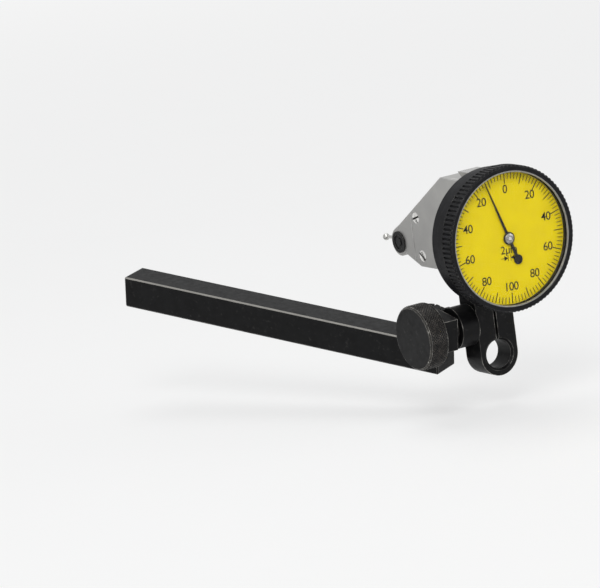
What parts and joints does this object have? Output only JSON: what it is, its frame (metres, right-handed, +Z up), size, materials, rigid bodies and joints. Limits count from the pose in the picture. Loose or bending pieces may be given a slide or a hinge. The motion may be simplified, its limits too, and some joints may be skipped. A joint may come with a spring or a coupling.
{
  "type": "dial test indicator",
  "caption": "Lever-type dial test indicator with a turning bezel, ball-tipped stylus and dovetail, held in a split swivel clamp on a square holding bar.",
  "frame": {"origin": "centre of the clamp block's stem bore, midway through the block", "axes": "+Y along the stem bore, away from the dial; +Z up through the dial's centre; +X to the right facing the dial"},
  "size_m": [0.0787, 0.12, 0.0596],
  "materials": {
    "black_steel": "black oxide, satin",
    "bright_steel": "ground bright",
    "spring_steel": "rolled",
    "satin_chrome": "satin chrome plate",
    "case_grey": "satin",
    "dial_yellow": "matt printed paint",
    "crystal": "clear acrylic",
    "gasket": "matt",
    "hand_black": "matt black",
    "brass": "turned",
    "ruby": "polished",
    "carbide": "polished"
  },
  "bodies": {
    "bar": {"holding_bar": "black_steel", "yaw_pivot_screw": "bright_steel", "yaw_washer": "spring_steel"},
    "link": {"swivel_link": "black_steel", "swivel_washer": "spring_steel"},
    "knob": {"knurled_knob": "black_steel", "clamp_screw": "bright_steel"},
    "clamp": {"clamp_block": "black_steel"},
    "gauge": {"body_frame": "satin_chrome", "left_cover": "satin_chrome", "right_cover": "satin_chrome", "left_cover_screws": "bright_steel", "right_cover_screws": "bright_steel", "left_pivot_screw": "black_steel", "right_pivot_screw": "black_steel", "left_plate": "brass", "right_plate": "brass", "plate_pillars": "bright_steel", "plate_screws": "bright_steel", "centre_bridge": "brass", "jewel_bearings": "ruby", "lower_dovetail": "bright_steel", "upper_dovetail": "bright_steel", "dial_case": "case_grey", "case_screws": "bright_steel", "bezel_snap_ring": "spring_steel", "hairspring_stud": "brass"},
    "bezel": {"bezel": "black_steel", "dial_plate": "dial_yellow", "crystal_gasket": "gasket", "crystal": "crystal", "retaining_ring": "bright_steel"},
    "hand": {"centre_arbor": "bright_steel", "hand": "hand_black", "hand_boss": "bright_steel", "hairspring_collet": "brass", "hairspring": "spring_steel"},
    "crown": {"crown_wheel": "brass", "crown_arbor": "bright_steel"},
    "sector": {"sector_gear": "brass", "sector_arbor": "bright_steel"},
    "lever": {"lever_shaft": "bright_steel", "measuring_lever": "brass"},
    "stylus": {"stylus_hub": "bright_steel", "stylus_shank": "bright_steel", "contact_ball": "carbide", "clutch_washer": "spring_steel"}
  },
  "joints": [
    {"name": "holder_yaw", "type": "hinge", "parent": "bar", "child": "link", "pos_m": [-0.0128, 0.00911, 0.01125], "axis": [0, -0.1994, 0.9799], "range_deg": [-40, 40]},
    {"name": "clamp_swivel", "type": "hinge", "parent": "link", "child": "clamp", "pos_m": [0, 0, 0.0094], "axis": [1, 0, 0], "range_deg": [-45, 100]},
    {"name": "knob_turn", "type": "hinge", "parent": "link", "child": "knob", "pos_m": [0, 0, 0.0094], "axis": [1, 0, 0], "continuous": true},
    {"name": "dovetail_slide", "type": "slide", "parent": "clamp", "child": "gauge", "axis": [0, 1, 0], "range_m": [-0.0046, 0.0021]},
    {"name": "bezel_turn", "type": "hinge", "parent": "gauge", "child": "bezel", "pos_m": [0, -0.0155, 0.0336], "axis": [0, 1, 0], "continuous": true},
    {"name": "hand_spin", "type": "hinge", "parent": "gauge", "child": "hand", "pos_m": [0, -0.0155, 0.0336], "axis": [0, 1, 0], "range_deg": [-200, 200], "stiffness_Nm_per_rad": 0.00001, "deforming": ["hairspring"]},
    {"name": "crown_spin", "type": "hinge", "parent": "gauge", "child": "crown", "pos_m": [0, 0.007, 0.0336], "axis": [1, 0, 0], "range_deg": [-27, 27]},
    {"name": "sector_swing", "type": "hinge", "parent": "gauge", "child": "sector", "pos_m": [0, 0.01815, 0.03005], "axis": [1, 0, 0], "range_deg": [-2.3, 2.3]},
    {"name": "lever_swing", "type": "hinge", "parent": "gauge", "child": "lever", "pos_m": [0, 0.0326, 0.02905], "axis": [1, 0, 0], "range_deg": [-0.46, 0.46]},
    {"name": "stylus_set", "type": "hinge", "parent": "lever", "child": "stylus", "pos_m": [0, 0.0326, 0.02905], "axis": [1, 0, 0], "range_deg": [-100, 100]}
  ],
  "couplings": [
    {"joint": "crown_spin", "follows": "hand_spin", "ratio": -0.13043},
    {"joint": "sector_swing", "follows": "hand_spin", "ratio": 0.01087},
    {"joint": "lever_swing", "follows": "hand_spin", "ratio": -0.0021649}
  ]
}
